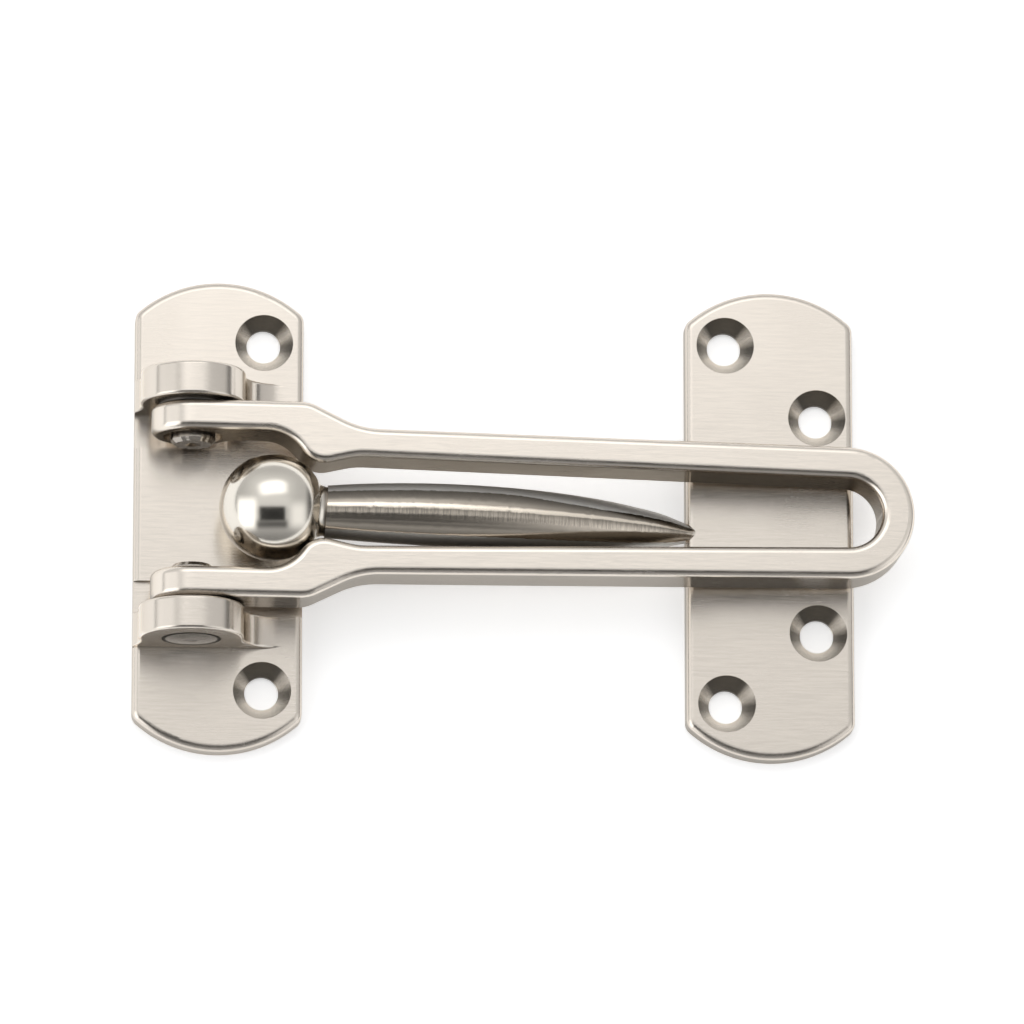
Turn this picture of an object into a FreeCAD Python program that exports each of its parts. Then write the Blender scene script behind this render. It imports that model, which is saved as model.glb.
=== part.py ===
"""Door guard: a swing bar on a hinge plate, and a ball on a curved arm that it catches.

Frame: millimetres, origin at the centre of the hinge plate's back face, +X from the hinge plate
towards the ball plate, +Y along the plates, +Z away from the door.
"""
import FreeCAD, Part
import Sketcher
import math
import os

from FreeCAD import Placement, Rotation, Vector

doc = FreeCAD.newDocument("DoorGuard")
sheet = doc.addObject("Spreadsheet::Sheet", "Sizes")

# Driving sizes, in millimetres and degrees.
SIZES = [
    # Both mounting plates
    ("plate_width", 27.5, "across both plates"),
    ("plate_length", 78.2, "over the rounded ends"),
    ("plate_thickness", 3.6, ""),
    ("plate_end_radius", 19.8, "of the arc at each end"),
    ("plate_corner_radius", 2.0, "where the end arc meets the side"),
    ("plate_edge_radius", 1.2, "round the front face"),
    ("plate_spacing", 90.0, "centre of one plate to the centre of the other"),
    # Screw holes
    ("screw_hole_diameter", 5.5, ""),
    ("countersink_diameter", 9.45, ""),
    ("countersink_angle", 72.0, "included"),
    ("hinge_hole_x", 7.25, "from the hinge plate's centre line"),
    ("hinge_hole_spacing", 57.9, ""),
    ("outer_hole_x", 7.2, "towards the hinge plate, from the ball plate's centre line"),
    ("outer_hole_spacing", 59.9, ""),
    ("inner_hole_x", 7.8, "away from the hinge plate"),
    ("inner_hole_spacing", 36.0, ""),
    # Hinge axis and lugs
    ("pin_x", 4.55, "hinge axis, to the left of the hinge plate's centre line"),
    ("eye_rise", 0.05, "eye above the plate's front face"),
    ("lug_gap", 0.4, "between the eye and the lug"),
    ("lug_thickness", 5.45, ""),
    ("lug_head_radius", 8.5, ""),
    ("lug_flare_radius", 6.5, "long flare towards the ball plate"),
    ("lug_back_flare_radius", 5.0, "short flare at the plate's side"),
    ("lug_back_rise", 1.4, "short flare's foot above the front face"),
    ("lug_edge_radius", 0.5, ""),
    ("eye_groove_inner_half", 11.1, "half the space between the grooves under the eyes"),
    ("eye_groove_depth", 0.9, ""),
    # Hinge pins and washers
    ("pin_diameter", 7.2, ""),
    ("pin_head_diameter", 9.0, ""),
    ("pin_head_height", 1.3, ""),
    ("pin_head_dome", 0.25, "crown of the head above the lug's face"),
    ("pin_head_gap", 0.06, "between the head and its recess, on the radius"),
    ("pin_reach", 1.3, "past the eye's inner face"),
    ("pin_chamfer", 0.6, ""),
    ("stake_diameter", 2.6, "punch mark in the pin's inner end"),
    ("stake_depth", 0.7, ""),
    ("eye_bore_gap", 0.08, "between the pin and the eye, on the radius"),
    ("washer_diameter", 11.0, ""),
    ("washer_gap", 0.12, "between the washer and the eye"),
    # Swing bar
    ("eye_radius", 6.75, ""),
    ("eye_outer_half", 16.25, "half the width over the eyes"),
    ("eye_inner_half", 11.3, "half the width of the window"),
    ("eye_recess_diameter", 9.6, "round the pin's inner end"),
    ("eye_recess_depth", 0.8, ""),
    ("eye_heel_radius", 2.5, "between the eye and the bar's underside"),
    ("bar_thickness", 9.5, "in Z"),
    ("bar_edge_radius", 1.2, ""),
    ("shoulder_x", 13.9, "where the outside starts to narrow"),
    ("waist_x", 22.3, "where the outside has narrowed to the legs"),
    ("waist_half", 12.1, ""),
    ("shoulder_radius", 6.0, ""),
    ("waist_radius", 14.0, ""),
    ("flank_angle", 55.0, "of the lobe's flank beside the ball, from X"),
    ("flank_overhang", 1.1, "how far the flank's front edge reaches over the ball's way"),
    ("lobe_half", 5.66, "half the throat, where flank and valley lines would meet"),
    ("valley_x", 21.8, "end of the lobe"),
    ("valley_half", 7.35, ""),
    ("flank_radius", 6.8, "in the window's corner"),
    ("lobe_radius", 4.4, ""),
    ("valley_radius", 12.0, ""),
    ("bend_x", 101.6, "centre of the bend"),
    ("bend_outer_radius", 10.95, ""),
    ("bend_inner_radius", 5.7, ""),
    ("bar_rest_angle", 1.75, "closed bar, sinking from the hinge axis to the ball plate"),
    # Ball
    ("ball_radius", 8.65, ""),
    ("ball_x", 8.3, ""),
    ("ball_rise", 0.4, "ball above the hinge plate's front face"),
    ("ball_drop", 0.7, "ball below the plates' centre line"),
    ("ball_swing_gap", 0.2, "between the ball and the lobes as the bar swings past"),
    ("neck_radius", 4.0, "where the ball's neck meets the arm"),
    ("neck_flare_radius", 1.7, "between the ball and the neck's end"),
    ("spigot_radius", 1.9, "of the ball's spigot in the arm"),
    ("spigot_length", 6.0, ""),
    ("spigot_gap", 0.03, ""),
    # Arm
    ("arm_start_radius", 4.25, "at the ball's neck"),
    ("arm_belly_radius", 5.1, ""),
    ("arm_belly_x", 38.0, ""),
    ("arm_root_radius", 1.6, "at the ball plate's side"),
    ("arm_root_sink", 2.5, "run of the root inside the plate"),
    ("arm_root_height", 1.75, "centre of the root above the back"),
    ("arm_fall_power", 2.5, "how late the arm falls towards the plate"),
    ("arm_ball_drop", 1.25, "arm below the plates' centre line, at the ball"),
    ("arm_root_drop", 1.6, "and at the root"),
]
for row, (alias, value, note) in enumerate(SIZES, start=1):
    sheet.set("A%d" % row, alias)
    sheet.set("B%d" % row, str(value))
    sheet.set("C%d" % row, note)
    sheet.setAlias("B%d" % row, alias)

# Sizes that follow from the driving ones.
FOLLOWING = [
    ("pin_z", "=plate_thickness + eye_rise + eye_radius"),
    ("bar_top", "=pin_z + eye_radius"),
    ("bar_bottom", "=bar_top - bar_thickness"),
    ("lug_inner_half", "=eye_outer_half + lug_gap"),
    ("lug_outer_half", "=lug_inner_half + lug_thickness"),
    ("plate_side", "=plate_width / 2"),
    ("ball_z", "=plate_thickness + ball_rise + ball_radius"),
    ("ball_way_radius", "=ball_radius + ball_swing_gap"),
    ("ball_swing_x", "=sqrt((ball_x + pin_x)^2 + (ball_z - pin_z)^2) - pin_x"),
    ("flank_sin", "=sin(flank_angle)"),
    ("flank_cos", "=cos(flank_angle)"),
    ("flank_distance", "=ball_way_radius - flank_overhang + ball_drop * flank_cos"),
    ("flank_top_x", "=ball_swing_x + (flank_distance - eye_inner_half * flank_cos) / flank_sin"),
    ("lobe_x", "=ball_swing_x + (flank_distance - lobe_half * flank_cos) / flank_sin"),
    ("neck_reach", "=sqrt((ball_radius + neck_flare_radius)^2 - (neck_radius + neck_flare_radius)^2)"),
    ("neck_turn", "=asin((arm_ball_drop - ball_drop) / neck_reach)"),
    ("neck_end_x", "=ball_x + neck_reach * cos(neck_turn)"),
    ("ball_plate_side_x", "=plate_spacing - plate_width / 2"),
]
for row, (alias, formula) in enumerate(FOLLOWING, start=len(SIZES) + 1):
    sheet.set("A%d" % row, alias)
    sheet.setAlias("B%d" % row, alias)
    sheet.set("B%d" % row, formula)
doc.recompute()


def size(alias):
    """A size's value, read back from the sheet."""
    return float(getattr(sheet, alias))


def bind(obj, prop, expression):
    """Ties a property to the sheet; names of sizes stand bare in the expression."""
    obj.setExpression(prop, in_sheet(expression))


def in_sheet(expression):
    """Puts the sheet's name before each size in an expression."""
    words = []
    word = ""
    for letter in expression + " ":
        if letter.isalnum() or letter in "_.":
            word += letter
            continue
        if word in ALIASES:
            word = "Sizes." + word
        words.append(word + letter)
        word = ""
    return "".join(words).strip()


ALIASES = {alias for alias, _, _ in SIZES} | {alias for alias, _ in FOLLOWING}


def origin_plane(body, role):
    for feature in body.Origin.OriginFeatures:
        if feature.Role == role:
            return feature
    raise ValueError(role)


def new_sketch(body, name, role, offset=None):
    """A sketch on one of the body's own origin planes, moved along its normal by an offset."""
    sketch = body.newObject("Sketcher::SketchObject", name)
    sketch.AttachmentSupport = [(origin_plane(body, role), "")]
    sketch.MapMode = "FlatFace"
    if offset is not None:
        bind(sketch, ".AttachmentOffset.Base.z", offset)
    return sketch


def add_rule(sketch, expression, kind, *where):
    """Adds a dimension to a sketch and ties it to the sheet."""
    value = evaluate(expression)
    index = sketch.addConstraint(Sketcher.Constraint(kind, *where, value))
    bind(sketch, "Constraints[%d]" % index, expression)


def evaluate(expression):
    """An expression's value at the sheet's present sizes."""
    return float(sheet.evalExpression(in_sheet(expression).replace("Sizes.", "")))


def join(sketch, kind, *where):
    """Adds a relation without a size to a sketch."""
    sketch.addConstraint(Sketcher.Constraint(kind, *where))


def add_circle(sketch, x, y, radius):
    """A circle whose centre and radius are expressions."""
    centre = Vector(evaluate(x), evaluate(y), 0)
    circle = sketch.addGeometry(Part.Circle(centre, Vector(0, 0, 1), evaluate(radius)))
    add_rule(sketch, radius, "Radius", circle)
    for kind, place in (("DistanceX", x), ("DistanceY", y)):
        if abs(evaluate(place)) > 1e-9:
            add_rule(sketch, place, kind, -1, 1, circle, 3)
        else:
            join(sketch, "PointOnObject", circle, 3, -2 if kind == "DistanceX" else -1)
    return circle


def add_polygon(sketch, corners):
    """Straight lines through corners given as expressions, each corner tied to the sheet."""
    points = [Vector(evaluate(x), evaluate(y), 0) for x, y in corners]
    count = len(points)
    lines = [
        sketch.addGeometry(Part.LineSegment(points[i], points[(i + 1) % count]))
        for i in range(count)
    ]
    for i in range(count):
        join(sketch, "Coincident", lines[i], 2, lines[(i + 1) % count], 1)
        place_point(sketch, lines[i], 1, *corners[i])
    return lines


def place_point(sketch, line, end, x, y):
    """Ties one point of a sketch to two expressions."""
    for kind, place in (("DistanceX", x), ("DistanceY", y)):
        if abs(evaluate(place)) > 1e-9:
            add_rule(sketch, place, kind, -1, 1, line, end)
        else:
            join(sketch, "PointOnObject", line, end, -2 if kind == "DistanceX" else -1)


def pad(body, sketch, name, length, **more):
    feature = body.newObject("PartDesign::Pad", name)
    feature.Profile = sketch
    for prop, value in more.items():
        setattr(feature, prop, value)
    bind(feature, "Length", length)
    doc.recompute()
    return feature


def pocket(body, sketch, name, length, **more):
    """A cut that has to take something away."""
    before = body.Shape.Volume
    feature = body.newObject("PartDesign::Pocket", name)
    feature.Profile = sketch
    for prop, value in more.items():
        setattr(feature, prop, value)
    bind(feature, "Length", length)
    doc.recompute()
    if body.Shape.Volume >= before - 1e-6:
        raise RuntimeError(name + " cuts nothing")
    return feature


def fillet(body, base, name, radius, wanted):
    """Rounds the edges of the base feature that the test picks out."""
    names = [
        "Edge%d" % (number + 1)
        for number, edge in enumerate(base.Shape.Edges)
        if wanted(edge)
    ]
    if not names:
        raise RuntimeError(name + " finds no edge")
    feature = body.newObject("PartDesign::Fillet", name)
    feature.Base = (base, names)
    bind(feature, "Radius", radius)
    doc.recompute()
    return feature


def middle(edge):
    """The point halfway along an edge."""
    return edge.valueAt((edge.FirstParameter + edge.LastParameter) / 2)


def near(one, other):
    return abs(one - other) < 1e-4


def lies_at_height(edge, height):
    """An edge whose ends and middle all lie at one Z."""
    return all(near(v.Z, height) for v in edge.Vertexes) and near(middle(edge).z, height)


def runs_along_z(edge):
    ends = edge.Vertexes
    return len(ends) == 2 and near(ends[0].X, ends[1].X) and near(ends[0].Y, ends[1].Y)


def plate_body(name, holes):
    """A mounting plate about its own centre: rounded ends, soft front edge, countersunk holes."""
    body = doc.addObject("PartDesign::Body", name)
    outline = new_sketch(body, name + "_outline", "XY_Plane")
    side = size("plate_side")
    radius = size("plate_end_radius")
    rise = size("plate_length") / 2 - radius
    half_turn = math.acos(side / radius)
    corner = rise + radius * math.sin(half_turn)
    up = Vector(0, 0, 1)
    right = outline.addGeometry(Part.LineSegment(Vector(side, -corner, 0), Vector(side, corner, 0)))
    top = outline.addGeometry(
        Part.ArcOfCircle(Part.Circle(Vector(0, rise, 0), up, radius), half_turn, math.pi - half_turn))
    left = outline.addGeometry(Part.LineSegment(Vector(-side, corner, 0), Vector(-side, -corner, 0)))
    foot = outline.addGeometry(
        Part.ArcOfCircle(Part.Circle(Vector(0, -rise, 0), up, radius),
                         math.pi + half_turn, 2 * math.pi - half_turn))
    join(outline, "Coincident", right, 2, top, 1)
    join(outline, "Coincident", top, 2, left, 1)
    join(outline, "Coincident", left, 2, foot, 1)
    join(outline, "Coincident", foot, 2, right, 1)
    join(outline, "Vertical", right)
    join(outline, "Vertical", left)
    join(outline, "PointOnObject", top, 3, -2)
    join(outline, "PointOnObject", foot, 3, -2)
    add_rule(outline, "plate_side", "DistanceX", -1, 1, right, 1)
    add_rule(outline, "plate_side", "DistanceX", left, 1, -1, 1)
    add_rule(outline, "plate_end_radius", "Radius", top)
    add_rule(outline, "plate_end_radius", "Radius", foot)
    add_rule(outline, "plate_length / 2 - plate_end_radius", "DistanceY", -1, 1, top, 3)
    add_rule(outline, "plate_length / 2 - plate_end_radius", "DistanceY", foot, 3, -1, 1)
    slab = pad(body, outline, name + "_slab", "plate_thickness")
    blended = fillet(body, slab, name + "_corners", "plate_corner_radius", runs_along_z)
    thickness = size("plate_thickness")
    fillet(body, blended, name + "_front_edge", "plate_edge_radius",
           lambda edge: lies_at_height(edge, thickness))
    drill = new_sketch(body, name + "_hole_places", "XY_Plane", "plate_thickness")
    for x, y in holes:
        add_circle(drill, x, y, "screw_hole_diameter / 2")
    doc.recompute()
    before = body.Shape.Volume
    holes_cut = body.newObject("PartDesign::Hole", name + "_screw_holes")
    holes_cut.Profile = drill
    holes_cut.DepthType = "ThroughAll"
    holes_cut.HoleCutType = "Countersink"
    holes_cut.HoleCutCustomValues = True
    bind(holes_cut, "Diameter", "screw_hole_diameter")
    bind(holes_cut, "HoleCutDiameter", "countersink_diameter")
    bind(holes_cut, "HoleCutCountersinkAngle", "countersink_angle")
    doc.recompute()
    if body.Shape.Volume >= before - 1e-6:
        raise RuntimeError(name + " has no screw holes")
    return body


def lug_body():
    """One lug of the hinge plate, on the -Y side, with its flares and the bore for its pin."""
    body = doc.addObject("PartDesign::Body", "lug_form")
    profile = new_sketch(body, "lug_profile", "XZ_Plane", "lug_inner_half")
    head = Vector(-size("pin_x"), size("pin_z"), 0)
    head_radius = size("lug_head_radius")
    thickness = size("plate_thickness")
    side = size("plate_side")
    flare = size("lug_flare_radius")
    back_flare = size("lug_back_flare_radius")
    foot = Vector(-side, thickness + size("lug_back_rise"), 0)
    run = math.sqrt((head_radius + flare) ** 2 - (head.y - thickness - flare) ** 2)
    flare_centre = Vector(head.x + run, thickness + flare, 0)
    back_centre = outer_meeting(foot, back_flare, head, head_radius + back_flare)
    front_touch = head + (flare_centre - head) * (head_radius / (head_radius + flare))
    back_touch = head + (back_centre - head) * (head_radius / (head_radius + back_flare))
    flare_end = Vector(flare_centre.x, thickness, 0)
    left = profile.addGeometry(Part.LineSegment(Vector(-side, 0, 0), foot))
    back = profile.addGeometry(arc_through(back_centre, foot, back_touch))
    crown = profile.addGeometry(arc_over(head, back_touch, front_touch))
    front = profile.addGeometry(arc_through(flare_centre, front_touch, flare_end))
    down = profile.addGeometry(Part.LineSegment(flare_end, Vector(flare_end.x, 0, 0)))
    base = profile.addGeometry(Part.LineSegment(Vector(flare_end.x, 0, 0), Vector(-side, 0, 0)))
    chain_arcs(profile, [(left, 2, foot), (back, None, None), (crown, None, None),
                         (front, None, None), (down, 1, flare_end)])
    join(profile, "Coincident", down, 2, base, 1)
    join(profile, "Coincident", base, 2, left, 1)
    join(profile, "Vertical", left)
    join(profile, "Vertical", down)
    join(profile, "Horizontal", base)
    place_point(profile, left, 1, "-plate_side", "0 * plate_side")
    add_rule(profile, "plate_thickness + lug_back_rise", "DistanceY", -1, 1, left, 2)
    add_rule(profile, "-pin_x", "DistanceX", -1, 1, crown, 3)
    add_rule(profile, "pin_z", "DistanceY", -1, 1, crown, 3)
    add_rule(profile, "lug_head_radius", "Radius", crown)
    add_rule(profile, "lug_flare_radius", "Radius", front)
    add_rule(profile, "lug_back_flare_radius", "Radius", back)
    add_rule(profile, "plate_thickness", "DistanceY", -1, 1, down, 1)
    join(profile, "Vertical", front, 3, down, 1)
    block = pad(body, profile, "lug_block", "lug_thickness")
    faces = (-size("lug_inner_half"), -size("lug_outer_half"))

    def on_rim(edge):
        point = middle(edge)
        flat = any(near(point.y, face) and all(near(v.Y, face) for v in edge.Vertexes) for face in faces)
        return flat and isinstance(edge.Curve, Part.Circle)

    fillet(body, block, "lug_rim", "lug_edge_radius", on_rim)
    bore = new_sketch(body, "lug_bore_place", "XZ_Plane", "lug_outer_half")
    add_circle(bore, "-pin_x", "pin_z", "pin_diameter / 2")
    pocket(body, bore, "lug_bore", "lug_thickness + eye_rise")
    seat = new_sketch(body, "lug_pin_seat_place", "XZ_Plane", "lug_outer_half")
    add_circle(seat, "-pin_x", "pin_z", "pin_head_diameter / 2 + pin_head_gap")
    pocket(body, seat, "lug_pin_seat", "pin_head_height")
    return body


def outer_meeting(one, one_radius, other, other_radius):
    """Where two circles meet, on the side away from the plate."""
    apart = other - one
    distance = apart.Length
    along = (one_radius ** 2 - other_radius ** 2 + distance ** 2) / (2 * distance)
    across = math.sqrt(one_radius ** 2 - along ** 2)
    unit = apart / distance
    return one + unit * along + Vector(-unit.y, unit.x, 0) * across


def arc_angle(centre, point):
    return math.atan2(point.y - centre.y, point.x - centre.x)


def arc_through(centre, start, end):
    """The shorter arc between two points about a centre, drawn anticlockwise."""
    first = arc_angle(centre, start)
    last = arc_angle(centre, end)
    if (last - first) % (2 * math.pi) > math.pi:
        first, last = last, first
    circle = Part.Circle(centre, Vector(0, 0, 1), (start - centre).Length)
    return Part.ArcOfCircle(circle, first, last)


def arc_over(centre, left, right):
    """The arc over the top of a circle, from its right point round to its left point."""
    circle = Part.Circle(centre, Vector(0, 0, 1), (left - centre).Length)
    return Part.ArcOfCircle(circle, arc_angle(centre, right), arc_angle(centre, left) % (2 * math.pi))


def chain_arcs(sketch, pieces):
    """Joins each line or arc to the next one where they meet; arcs meet arcs without a corner."""
    for (one, _, _), (other, _, _) in zip(pieces, pieces[1:]):
        best = None
        for one_end in (1, 2):
            for other_end in (1, 2):
                gap = (sketch.getPoint(one, one_end) - sketch.getPoint(other, other_end)).Length
                if best is None or gap < best[0]:
                    best = (gap, one_end, other_end)
        smooth = all(isinstance(sketch.Geometry[g], Part.ArcOfCircle) for g in (one, other))
        kind = "Tangent" if smooth else "Coincident"
        sketch.addConstraint(Sketcher.Constraint(kind, one, best[1], other, best[2]))


def hinge_plate():
    """The plate with both lugs cast on, and the grooves that clear the bar's eyes."""
    half_spacing = "hinge_hole_spacing / 2"
    plate = plate_body("hinge_plate_form", [("hinge_hole_x", half_spacing),
                                            ("hinge_hole_x", "-" + half_spacing)])
    for name, sign in (("upper_groove", ""), ("lower_groove", "-")):
        place = new_sketch(plate, name + "_place", "XY_Plane", "plate_thickness")
        far_side = "plate_side + plate_edge_radius"
        add_polygon(place, [("-(%s)" % far_side, sign + "eye_groove_inner_half"),
                            (far_side, sign + "eye_groove_inner_half"),
                            (far_side, sign + "lug_inner_half"),
                            ("-(%s)" % far_side, sign + "lug_inner_half")])
        pocket(plate, place, name, "eye_groove_depth")
    lug = lug_body()
    other_lug = doc.addObject("Part::Mirroring", "other_lug_form")
    other_lug.Source = lug
    other_lug.Normal = Vector(0, 1, 0)
    whole = doc.addObject("Part::MultiFuse", "hinge_plate_node")
    whole.Shapes = [plate, lug, other_lug]
    whole.Refine = True
    return whole


def swing_bar():
    """The U-shaped bar: two eyes, shoulders with lobes round the ball, and two legs to the bend."""
    body = doc.addObject("PartDesign::Body", "swing_bar_node")
    plan = new_sketch(body, "bar_plan", "XY_Plane", "bar_bottom")
    outer = [("-pin_x", "eye_outer_half"), ("shoulder_x", "eye_outer_half"), ("waist_x", "waist_half")]
    inner = [("-pin_x", "eye_inner_half"), ("flank_top_x", "eye_inner_half"),
             ("lobe_x", "lobe_half"), ("valley_x", "valley_half")]
    draw_bar_plan(plan, outer, inner)
    legs = pad(body, plan, "bar_legs", "bar_thickness")
    corners = [(outer[1], "shoulder_radius"), (outer[2], "waist_radius"), (inner[1], "flank_radius"),
               (inner[2], "lobe_radius"), (inner[3], "valley_radius")]
    base = legs
    for number, (corner, radius) in enumerate(corners, start=1):
        x = evaluate(corner[0])
        y = evaluate(corner[1])
        base = fillet(body, base, "bar_blend_%d" % number, radius,
                      lambda edge: runs_along_z(edge) and near(edge.Vertexes[0].X, x)
                      and near(abs(edge.Vertexes[0].Y), y))
    eye_place = new_sketch(body, "eye_place", "XZ_Plane", "eye_inner_half")
    add_circle(eye_place, "-pin_x", "pin_z", "eye_radius")
    eye = pad(body, eye_place, "lower_eye", "eye_outer_half - eye_inner_half")
    other_eye = body.newObject("PartDesign::Mirrored", "upper_eye")
    other_eye.Originals = [eye]
    other_eye.MirrorPlane = (origin_plane(body, "XZ_Plane"), [""])
    body.Tip = other_eye
    doc.recompute()
    pin_x = -size("pin_x")
    pin_z = size("pin_z")
    top = size("bar_top")
    bottom = size("bar_bottom")
    heel_x = pin_x + math.sqrt(size("eye_radius") ** 2 - (pin_z - bottom) ** 2)

    def in_heel(edge):
        point = middle(edge)
        return near(point.x, heel_x) and near(point.z, bottom)

    heels = fillet(body, other_eye, "eye_heels", "eye_heel_radius", in_heel)

    def on_rim(edge):
        point = middle(edge)
        if near(edge.Vertexes[0].X, edge.Vertexes[-1].X) and near(point.x, edge.Vertexes[0].X):
            return False
        flat = lies_at_height(edge, top) or lies_at_height(edge, bottom)
        upright = isinstance(edge.Curve, Part.Circle) and near(abs(edge.Curve.Axis.y), 1)
        return flat or upright

    fillet(body, heels, "bar_rim", "bar_edge_radius", on_rim)
    clear_ball_way(body)
    bore = new_sketch(body, "eye_bore_place", "XZ_Plane")
    add_circle(bore, "-pin_x", "pin_z", "pin_diameter / 2 + eye_bore_gap")
    pocket(body, bore, "eye_bores", "2 * lug_inner_half", Midplane=True)
    recess = new_sketch(body, "eye_recess_place", "XZ_Plane")
    add_circle(recess, "-pin_x", "pin_z", "eye_recess_diameter / 2")
    pocket(body, recess, "eye_recesses", "2 * (eye_inner_half + eye_recess_depth)", Midplane=True)
    closed = "placement(vector(0; 0; 0); rotation(vector(0; 1; 0); bar_rest_angle); vector(-pin_x; 0; pin_z))"
    bind(body, "Placement", closed)
    return body


def clear_ball_way(body):
    """Hollows the lobes where the ball passes: the ring that it sweeps about the hinge axis."""
    before = body.Shape.Volume
    place = new_sketch(body, "ball_way_place", "XY_Plane", "pin_z")
    add_circle(place, "ball_swing_x", "-ball_drop", "ball_way_radius")
    foot = Vector(-size("pin_x"), 0, 0)
    axis = place.addGeometry(Part.LineSegment(foot, foot + Vector(0, size("ball_radius"), 0)), True)
    place_point(place, axis, 1, "-pin_x", "0 * pin_x")
    join(place, "Vertical", axis)
    add_rule(place, "ball_radius", "DistanceY", axis, 1, axis, 2)
    way = body.newObject("PartDesign::Groove", "ball_way")
    way.Profile = place
    way.ReferenceAxis = (place, ["Axis0"])
    way.Angle = 360
    doc.recompute()
    if body.Shape.Volume >= before - 1e-6:
        raise RuntimeError("the ball's way cuts nothing")


def draw_bar_plan(plan, outer, inner):
    """The bar seen from the front: corners as given, then legs that run tangent into the bend."""
    bend = Vector(size("bend_x"), 0, 0)
    sides = {}
    for name, corners, radius in (("outer", outer, "bend_outer_radius"),
                                  ("inner", inner, "bend_inner_radius")):
        start = Vector(evaluate(corners[-1][0]), evaluate(corners[-1][1]), 0)
        touch = tangent_point(start, bend, size(radius))
        turn = arc_angle(bend, touch)
        arc = plan.addGeometry(
            Part.ArcOfCircle(Part.Circle(bend, Vector(0, 0, 1), size(radius)), -turn, turn))
        add_rule(plan, radius, "Radius", arc)
        place_point(plan, arc, 3, "bend_x", "0 * bend_x")
        for sign, mark in ((1, ""), (-1, "-")):
            points = [Vector(evaluate(x), sign * evaluate(y), 0) for x, y in corners]
            points.append(Vector(touch.x, sign * touch.y, 0))
            lines = [plan.addGeometry(Part.LineSegment(a, b)) for a, b in zip(points, points[1:])]
            for one, other in zip(lines, lines[1:]):
                join(plan, "Coincident", one, 2, other, 1)
            for line, (x, y) in zip(lines, corners):
                place_point(plan, line, 1, x, mark + y)
            join(plan, "Tangent", lines[-1], 2, arc, 2 if sign > 0 else 1)
            sides[name, sign] = lines
    for sign in (1, -1):
        one = sides["outer", sign][0]
        other = sides["inner", sign][0]
        cap = plan.addGeometry(Part.LineSegment(plan.getPoint(one, 1), plan.getPoint(other, 1)))
        join(plan, "Coincident", cap, 1, one, 1)
        join(plan, "Coincident", cap, 2, other, 1)


def tangent_point(start, centre, radius):
    """Where a line from a point touches a circle, on the side away from the middle line."""
    apart = centre - start
    distance = apart.Length
    turn = math.asin(radius / distance)
    reach = math.sqrt(distance ** 2 - radius ** 2)
    heading = math.atan2(apart.y, apart.x) + turn
    return start + Vector(math.cos(heading), math.sin(heading), 0) * reach


def hinge_pin(name, upper):
    """A headed pin on the hinge axis, head in the lug's outer face, inner end past the eye."""
    body = doc.addObject("PartDesign::Body", name + "_node")
    profile = new_sketch(body, name + "_profile", "XY_Plane")
    corners = [("0 * pin_x", "-lug_outer_half"),
               ("pin_head_diameter / 2", "-lug_outer_half"),
               ("pin_head_diameter / 2", "-(lug_outer_half - pin_head_height)"),
               ("pin_diameter / 2", "-(lug_outer_half - pin_head_height)"),
               ("pin_diameter / 2", "-(eye_inner_half - pin_reach + pin_chamfer)"),
               ("pin_diameter / 2 - pin_chamfer", "-(eye_inner_half - pin_reach)"),
               ("stake_diameter / 2", "-(eye_inner_half - pin_reach)"),
               ("0 * pin_x", "-(eye_inner_half - pin_reach + stake_depth)")]
    add_polygon(profile, corners)
    turn_about_y(body, profile, name + "_turned")
    dome = new_sketch(body, name + "_dome_profile", "XY_Plane")
    rim = evaluate("pin_head_diameter / 2")
    face = -size("lug_outer_half")
    crown = size("pin_head_dome")
    radius = (rim ** 2 + crown ** 2) / (2 * crown)
    centre = Vector(0, face - crown + radius, 0)
    arc = dome.addGeometry(Part.ArcOfCircle(
        Part.Circle(centre, Vector(0, 0, 1), radius), -math.pi / 2,
        math.atan2(face - centre.y, rim)))
    flat = dome.addGeometry(Part.LineSegment(Vector(rim, face, 0), Vector(0, face, 0)))
    axis = dome.addGeometry(Part.LineSegment(Vector(0, face, 0), Vector(0, face - crown, 0)))
    join(dome, "Coincident", arc, 2, flat, 1)
    join(dome, "Coincident", flat, 2, axis, 1)
    join(dome, "Coincident", axis, 2, arc, 1)
    join(dome, "Horizontal", flat)
    join(dome, "PointOnObject", arc, 3, -2)
    place_point(dome, axis, 1, "0 * pin_x", "-lug_outer_half")
    add_rule(dome, "pin_head_dome", "DistanceY", axis, 2, axis, 1)
    add_rule(dome, "pin_head_diameter / 2", "DistanceX", flat, 2, flat, 1)
    turn_about_y(body, dome, name + "_dome")
    turn = Rotation(Vector(0, 0, 1), 180 if upper else 0)
    body.Placement = Placement(Vector(0, 0, 0), turn)
    bind(body, ".Placement.Base.x", "-pin_x")
    bind(body, ".Placement.Base.z", "pin_z")
    return body


def turn_about_y(body, profile, name):
    """Turns a profile once round the body's Y axis."""
    feature = body.newObject("PartDesign::Revolution", name)
    feature.Profile = profile
    feature.ReferenceAxis = (origin_plane(body, "Y_Axis"), [""])
    feature.Angle = 360
    doc.recompute()
    return feature


def hinge_washer(name, upper):
    """A thin washer on the pin, against the lug's inner face."""
    thickness = "lug_gap - washer_gap"
    ring = doc.addObject("Part::Cylinder", name + "_ring")
    bind(ring, "Radius", "washer_diameter / 2")
    hole = doc.addObject("Part::Cylinder", name + "_hole")
    bind(hole, "Radius", "pin_diameter / 2 + eye_bore_gap")
    start = "eye_outer_half + washer_gap" if upper else "-lug_inner_half"
    for solid in (ring, hole):
        bind(solid, "Height", thickness)
        solid.Placement = Placement(Vector(0, 0, 0), Rotation(Vector(1, 0, 0), -90))
        bind(solid, ".Placement.Base.x", "-pin_x")
        bind(solid, ".Placement.Base.y", start)
        bind(solid, ".Placement.Base.z", "pin_z")
    washer = doc.addObject("Part::Cut", name + "_node")
    washer.Base = ring
    washer.Tool = hole
    return washer


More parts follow.
